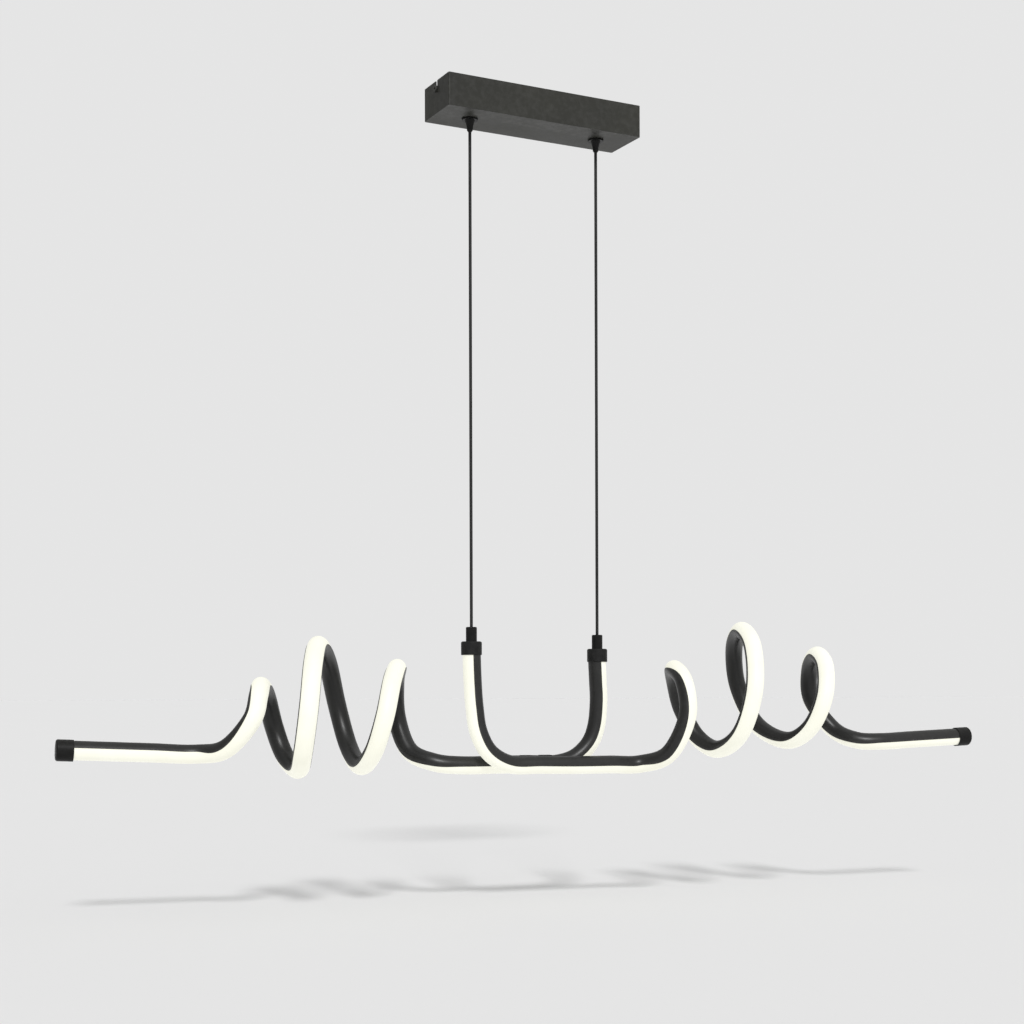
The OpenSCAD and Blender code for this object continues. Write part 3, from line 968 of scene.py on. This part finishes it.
def left_route() -> TubeRoute:
    """The tube that makes the left coil and hangs from the right cord."""
    grip = math.sqrt(CORD_X ** 2 - TUBE_Y ** 2)
    coil = CoilPath((
        (-330, 94, -306), (-288, -1, -291), (-264, 141, -226),
        (-215, 2, -201), (-171, 115, -156), (-150, 0, 0),
    ))
    arm = ArmPath(-404, -552, 18, (0, -0.4, -0.9))
    return TubeRoute(
        list(reversed(arm.stations()))
        + [
            station(-374, -21, 24, 0.5, -0.5, -0.7), station(-348, -38, 56, 0.5, -0.8, 0),
            station(-338, -27, 84, 0.4, -0.6, 0.6),
        ]
        + coil.stations()
        + [
            station(-146, 40, 18, 0, 0.7, -0.7), station(-122, 18, 4, 0, 0.3, -1),
            station(-90, 12, 0), station(-45, 12, 0), station(0, 12, 0), station(30, 12, 0),
            station(55, 12, 7, 0.5, 0, -0.9), station(74, 12, 24, 0.8, 0, -0.6),
            station(83, 12, 46, 1, 0, -0.2), station(86, 12, 75, 1, 0, 0),
            station(grip + 1, 12, 100, 1, 0, 0), station(grip, 12, 123, 1, 0, 0),
            station(grip, 12, 135, 1, 0, 0),
        ]
    )


def right_route() -> TubeRoute:
    """The tube that makes the right coil and hangs from the left cord."""
    grip = math.sqrt(CORD_X ** 2 - TUBE_Y ** 2)
    coil = CoilPath((
        (181, 115, 214), (241, 15, 253), (273, 163, 302),
        (335, 25, 359), (379, 133, 401), (420, 22, 0),
    ))
    arm = ArmPath(470, 597, 22, (0, 0, -1))
    return TubeRoute(
        [
            station(-grip, -12, 142, -1, 0, 0), station(-grip, -12, 130, -1, 0, 0),
            station(1 - grip, -12, 100, -1, 0, 0), station(-81, -12, 70, -1, 0, -0.1),
            station(-76, -12, 40, -1, 0, -0.4), station(-62, -12, 15, -0.7, 0, -0.8),
            station(-36, -12, 1, -0.2, 0, -1), station(0, -12, 0), station(45, -12, -1),
            station(90, -12, -1), station(130, -13, -1), station(157, -38, 12, 0.5, 0.1, -0.8),
            station(172, -58, 57, 0.9, -0.4, 0), station(176, -41, 98, 0.7, -0.3, 0.6),
        ]
        + coil.stations()
        + [station(423, 38, 38, 0, 0.7, -0.7), station(441, 11, 24, 0, 0.3, -1)]
        + arm.stations()
    )


def arc(radius: float, start_deg: float, end_deg: float, count: int) -> list[tuple[float, float]]:
    """Points on a circle, with angles counted from the diffuser's way.

    Args:
        radius: the circle's radius.
        start_deg: first angle.
        end_deg: last angle.
        count: stretches between the points.

    Returns:
        The points.
    """
    angles = [math.radians(start_deg + (end_deg - start_deg) * i / count) for i in range(count + 1)]
    return [(radius * math.sin(a), radius * math.cos(a)) for a in angles]


@dataclass(frozen=True)
class LedStrip:
    """Row of light-emitting chips on the circuit band inside a tube."""

    chip_pitch: float = 0.0125
    chip_half: float = 1.4
    chip_rise: float = 0.55
    floor: float = -2.4

    def add_chips(self, piece: bpy.types.Object, route: TubeRoute) -> None:
        """Joins the chips to the band's mesh.

        Args:
            piece: the band.
            route: the tube that it lies in.
        """
        work = bmesh.new()
        work.from_mesh(piece.data)
        lengths = route.lengths()
        wanted = self.chip_pitch
        for i in range(1, len(lengths) - 1):
            if lengths[i] < wanted:
                continue
            wanted += self.chip_pitch
            across, facing = route.axes(i)
            along = across.cross(facing)
            base = route.points[i] + facing * self.floor * MM
            self._chip(work, base, across * MM, facing * MM, along * MM)
        work.to_mesh(piece.data)
        work.free()

    def _chip(self, work: bmesh.types.BMesh, base: Vector, u: Vector, v: Vector, t: Vector) -> None:
        """Adds one chip: a flat block with a bevelled top, closed at the bottom.

        Args:
            work: the mesh to add it to.
            base: middle of its bottom face.
            u: one millimetre across the tube.
            v: one millimetre towards the diffuser.
            t: one millimetre along the tube.
        """
        half = self.chip_half
        levels = ((half, 0.0), (half, self.chip_rise * 0.6), (half * 0.82, self.chip_rise))
        corners = ((-1, -1), (1, -1), (1, 1), (-1, 1))
        rings = [
            [work.verts.new(base + u * (x * r) + t * (y * r * 1.2) + v * h) for x, y in corners]
            for r, h in levels
        ]
        faces = [work.faces.new(tuple(reversed(rings[0]))), work.faces.new(rings[-1])]
        for low, high in zip(rings, rings[1:]):
            for j in range(4):
                k = (j + 1) % 4
                faces.append(work.faces.new((low[j], low[k], high[k], high[j])))
        bmesh.ops.recalc_face_normals(work, faces=faces)


@dataclass
class LightTube:
    """One light tube: its metal channel, its diffuser and the LED strip inside.

    Args:
        side: the end of the light that its coil is on.
        route: its centre line.
    """

    side: Side
    route: TubeRoute
    tube_r: float = 11.0
    lip: float = 0.5
    split: float = 84.0
    split_gap: float = 1.0
    split_overlap: float = 2.0
    diffuser_wall: float = 1.8
    channel_wall: float = 1.6
    rim_v: float = 0.9
    rim_round_u: float = 0.35
    rim_round_v: float = 1.12
    floor_v: float = -4.6
    floor_half: float = 8.0
    strip_half: float = 4.0
    strip_clear: float = 1.0
    strip_thick: float = 1.2
    strip_bevel: float = 0.2

    def outline(self, kind: Outline) -> list[tuple[float, float]]:
        """The cross-section of one of the long pieces.

        Args:
            kind: which piece.

        Returns:
            Its outline across the tube and towards the diffuser, in mm.
        """
        if kind is Outline.CHANNEL:
            low = self.split + self.split_gap
            rim = self.tube_r - self.channel_wall
            shoulder = self.tube_r - self.rim_round_u
            return arc(self.tube_r, low, 360 - low, 22) + [
                (-shoulder, self.rim_round_v), (-rim, self.rim_v),
                (-self.floor_half, self.floor_v), (self.floor_half, self.floor_v),
                (rim, self.rim_v), (shoulder, self.rim_round_v),
            ]
        outer = self.tube_r - self.lip
        if kind is Outline.DIFFUSER:
            inner, short = outer - self.diffuser_wall, self.split - self.split_overlap
            return arc(outer, -self.split, self.split, 22) + arc(inner, short, -short, 12)
        low, half = self.floor_v + self.strip_clear, self.strip_half
        high, bevel = low + self.strip_thick, self.strip_bevel
        return [
            (-half, low), (-half, high - bevel), (-half + bevel, high),
            (half - bevel, high), (half, high - bevel), (half, low),
        ]

    def _sweep(self, kind: Outline) -> bpy.types.Object:
        """Makes one long piece along the route."""
        outline = self.outline(kind)
        girth = [0.0]
        for i in range(len(outline)):
            a, b = Vector(outline[i]), Vector(outline[(i + 1) % len(outline)])
            girth.append(girth[-1] + (b - a).length * MM)
        name = f"{self.side.word}_{kind.value}_run"
        return Swept(name, self.route.skin(outline), self.route.lengths(), girth).build()

    def build(self, finishes: FinishSet) -> None:
        """Makes and dresses the three long pieces.

        Args:
            finishes: the light's finishes.
        """
        looks = {
            Outline.CHANNEL: (finishes.channel, "black_aluminium"),
            Outline.DIFFUSER: (finishes.diffuser, "diffuser"),
            Outline.STRIP: (finishes.strip, "led_strip"),
        }
        length = self.route.lengths()[-1]
        for kind, (finish, slot) in looks.items():
            piece = self._sweep(kind)
            if kind is Outline.STRIP:
                LedStrip().add_chips(piece, self.route)
            dress(piece, finish)
            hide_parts(f"{kind.value}_{self.side.word}")
            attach(piece, "lamp")
            LOG.info("%s: %.3f m long, %d faces", piece.name, length, len(piece.data.polygons))


# ---------------------------------------------------------------------------------------------
# Cords, glands, grips, canopy and what is inside it
# ---------------------------------------------------------------------------------------------


@dataclass
class SuspensionCord:
    """One taut cord from its gland down to the ball in its grip.

    Args:
        side: which cord.
    """

    side: Side
    x: float = 0.085
    top: float = -0.0537
    foot: float = -0.6445
    diameter: float = 0.0036
    travel: float = 0.25
    sides: int = 20
    stretches: int = 40

    def build(self, finishes: FinishSet) -> None:
        """Makes the cord.

        Args:
            finishes: the light's finishes.
        """
        x, radius = self.side.value * self.x, self.diameter / 2
        length = self.top - self.foot
        lengths = [length * i / self.stretches for i in range(self.stretches + 1)]
        path = [Vector((x, 0, self.top - down)) for down in lengths]
        angles = [2 * math.pi * j / self.sides for j in range(self.sides)]
        ring = [Vector((radius * math.cos(a), radius * math.sin(a), 0)) for a in angles]
        skin = [[p + offset for offset in ring] for p in path]
        girth = [2 * math.pi * radius * j / self.sides for j in range(self.sides + 1)]
        piece = Swept(f"{self.side.word}_cord_jacket", skin, lengths, girth).build()
        dress(piece, finishes.cord)
        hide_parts(f"cord_{self.side.word}")
        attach(piece, f"{self.side.word}_cord")
        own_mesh(piece)
        LOG.info("%s: %.4f m long", piece.name, length)


@dataclass(frozen=True)
class CordGland:
    """The hollow-sided gland under the canopy, its nut, and the bead that the cord turns on."""

    side: Side
    edge: SoftEdge = SoftEdge(0.0003)

    def build(self, finishes: FinishSet) -> None:
        """Makes and dresses the gland and its nut."""
        word = self.side.word
        black, zinc = finishes.moulding, finishes.zinc
        self.edge.copy_of(f"gland_{word}", f"{word}_cord_gland", "canopy", black, "black_plastic")
        self.edge.copy_of(f"gland_nut_{word}", f"{word}_hex_nut", "canopy", zinc, "zinc_steel")
        dress_node(f"bead_{word}", finishes.moulding)


@dataclass(frozen=True)
class CordGrip:
    """The collar on a tube's upturned end, the sleeve on it and the ball inside."""

    side: Side
    edge: SoftEdge = SoftEdge(0.00025)

    def build(self, finishes: FinishSet) -> None:
        """Makes and dresses the collar and the sleeve, and dresses the ball."""
        word = self.side.word
        name, collar, sleeve = f"{word}_tube_collar", finishes.collar, finishes.sleeve
        self.edge.copy_of(f"collar_{word}", name, "lamp", collar, "black_aluminium")
        self.edge.copy_of(f"sleeve_{word}", f"{word}_cord_sleeve", "lamp", sleeve, "black_plastic")
        dress_node(f"ball_{word}", finishes.zinc)


@dataclass(frozen=True)
class TubeFittings:
    """The small pieces on one tube: its end cap and the saddle to its neighbour."""

    side: Side
    cap_edge: SoftEdge = SoftEdge(0.0003)
    saddle_edge: SoftEdge = SoftEdge(0.0005)

    def build(self, finishes: FinishSet) -> None:
        """Makes and dresses the cap and the saddle."""
        word = self.side.word
        cap, saddle, black = f"{word}_arm_cap", f"{word}_saddle", finishes.moulding
        self.cap_edge.copy_of(f"end_cap_{word}", cap, "lamp", black, "black_plastic")
        self.saddle_edge.copy_of(f"tube_joiner_{word}", saddle, "lamp", black, "black_plastic")


@dataclass(frozen=True)
class Canopy:
    """The sheet steel canopy and the two screws in its ends."""

    fold: SoftEdge = SoftEdge(0.0009, 4)
    screw_edge: SoftEdge = SoftEdge(0.0002, 2)

    def build(self, finishes: FinishSet) -> None:
        """Makes and dresses the canopy and its screws."""
        self.fold.copy_of("canopy", "canopy_shell", "canopy", finishes.coat, "black_coat")
        for side in Side:
            node, name = f"side_screw_{side.word}", f"{side.word}_end_screw"
            body = f"screw_{side.word}"
            self.screw_edge.copy_of(node, name, body, finishes.coat, "black_coat")


@dataclass(frozen=True)
class CeilingSet:
    """What stays on the ceiling inside the canopy: the bracket, the driver and the terminals."""

    strip_edge: SoftEdge = SoftEdge(0.0003, 2)
    housing_edge: SoftEdge = SoftEdge(0.0008, 3)

    def build(self, finishes: FinishSet) -> None:
        """Makes and dresses the pieces inside the canopy."""
        thin, thick, housing = self.strip_edge, self.housing_edge, finishes.housing
        soft = (
            ("ceiling_bracket", "strip_bracket", thin, finishes.zinc, "zinc_steel"),
            ("driver_case", "driver_housing", thick, housing, "driver_plastic"),
            ("driver_end_covers", "driver_lids", thick, housing, "driver_plastic"),
            ("terminal_block", "mains_terminal", thin, housing, "driver_plastic"),
        )
        for node, name, edge, finish, slot in soft:
            edge.copy_of(node, name, "bracket", finish, slot)
        dress_node("driver_screws", finishes.zinc)
        dress_node("terminal_screws", finishes.brass)
        dress_node("earth_screw", finishes.brass)


# ---------------------------------------------------------------------------------------------
# Studio
# ---------------------------------------------------------------------------------------------


@dataclass(frozen=True)
class ViewCamera:
    """The camera, level and turned towards the light's right-hand end."""

    place: tuple[float, float, float] = (-0.967, -1.812, -0.714)
    heading_deg: float = VIEW_HEADING_DEG
    roll_deg: float = -0.18
    lens_mm: float = 60.47
    shift_up: float = 0.1797

    def build(self) -> None:
        """Makes the scene's camera."""
        lens = bpy.data.cameras.new("View_Camera")
        lens.sensor_width = 36.0
        lens.lens = self.lens_mm
        lens.shift_y = self.shift_up
        lens.clip_end = 400.0
        lens.dof.use_dof = False
        camera = bpy.data.objects.new("View_Camera", lens)
        bpy.context.scene.collection.objects.link(camera)
        rolled = Matrix.Rotation(math.radians(self.roll_deg), 4, "Z")
        level = Matrix.Rotation(math.radians(90), 4, "X") @ rolled
        turned = Matrix.Rotation(math.radians(-self.heading_deg), 4, "Z") @ level
        camera.matrix_world = Matrix.Translation(self.place) @ turned
        bpy.context.scene.camera = camera


@dataclass(frozen=True)
class Studio:
    """Pale floor, a soft sky that is brighter to one side, and one soft key light."""

    floor_z: float = -0.965
    half_size: float = 150.0
    paper: StudioPaper = StudioPaper()
    backdrop: float = 0.785
    sky: float = 0.62
    bright_way: tuple[float, float, float] = (0.5, -0.866, 0.0)
    key_deg: float = 9.0
    heading_deg: float = VIEW_HEADING_DEG
    forward: float = 1.17
    sideways: float = -0.15

    def _floor(self) -> None:
        """Makes the floor, a wide flat sheet of paper with its edges out of sight."""
        mesh = bpy.data.meshes.new("studio_floor")
        work = bmesh.new()
        bmesh.ops.create_grid(work, x_segments=24, y_segments=24, size=self.half_size)
        bmesh.ops.translate(work, verts=work.verts, vec=(0, 0, self.floor_z))
        work.to_mesh(mesh)
        work.free()
        floor = bpy.data.objects.new("studio_floor", mesh)
        bpy.context.scene.collection.objects.link(floor)
        dress(floor, self.paper.build())

    def _sky(self) -> None:
        """Makes the sky, brighter one way, which the camera sees as one even tone."""
        world = bpy.data.worlds.new("Studio_Sky")
        world.use_nodes = True
        world.node_tree.nodes.clear()
        w = Wiring(world.node_tree)
        seen = w.add("ShaderNodeBackground", {0: grey(self.backdrop), 1: 1.0})
        lit = w.add("ShaderNodeBackground", {0: grey(1.0)})
        lean = w.add("ShaderNodeVectorMath", {1: self.bright_way}, operation="DOT_PRODUCT")
        w.join(w.add("ShaderNodeTexCoord").outputs["Generated"], lean.inputs[0])
        dim, bright = self.sky * 0.5, self.sky * 1.5
        w.join(w.spread(lean.outputs["Value"], -1.0, 1.0, dim, bright), lit.inputs[1])
        mix = w.add("ShaderNodeMixShader")
        w.join(w.add("ShaderNodeLightPath").outputs["Is Camera Ray"], mix.inputs[0])
        w.join(lit.outputs[0], mix.inputs[1])
        w.join(seen.outputs[0], mix.inputs[2])
        w.join(mix.outputs[0], w.add("ShaderNodeOutputWorld").inputs[0])
        bpy.context.scene.world = world

    def _key(self) -> None:
        """Makes the key light, whose level brings the open floor to the backdrop's tone."""
        heading = math.radians(self.heading_deg)
        ahead = Vector((math.sin(heading), math.cos(heading), 0))
        right = Vector((math.cos(heading), -math.sin(heading), 0))
        travel = (ahead * self.forward + right * self.sideways + Vector((0, 0, -1))).normalized()
        light = bpy.data.lights.new("Key_Light", "SUN")
        light.angle = math.radians(self.key_deg)
        needed = self.backdrop / self.paper.level - self.sky
        light.energy = math.pi * needed / -travel.z
        key = bpy.data.objects.new("Key_Light", light)
        bpy.context.scene.collection.objects.link(key)
        key.matrix_world = travel.to_track_quat("-Z", "Y").to_matrix().to_4x4()

    def build(self) -> None:
        """Makes the floor, the sky and the key light."""
        self._floor()
        self._sky()
        self._key()
        view = bpy.context.scene.view_settings
        view.view_transform = "Standard"
        view.look = "None"


def main() -> None:
    """Builds the camera and the cords first, then every other piece."""
    logging.basicConfig(level=logging.INFO, format="%(name)s: %(message)s", stream=sys.stdout)
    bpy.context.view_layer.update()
    ViewCamera().build()
    finishes = FinishSet.build()
    for side in Side:
        SuspensionCord(side).build(finishes)
    Canopy().build(finishes)
    CeilingSet().build(finishes)
    for side in Side:
        CordGland(side).build(finishes)
        CordGrip(side).build(finishes)
        TubeFittings(side).build(finishes)
    LightTube(Side.LEFT, left_route()).build(finishes)
    LightTube(Side.RIGHT, right_route()).build(finishes)
    Studio().build()


if __name__ == "__main__":
    main()
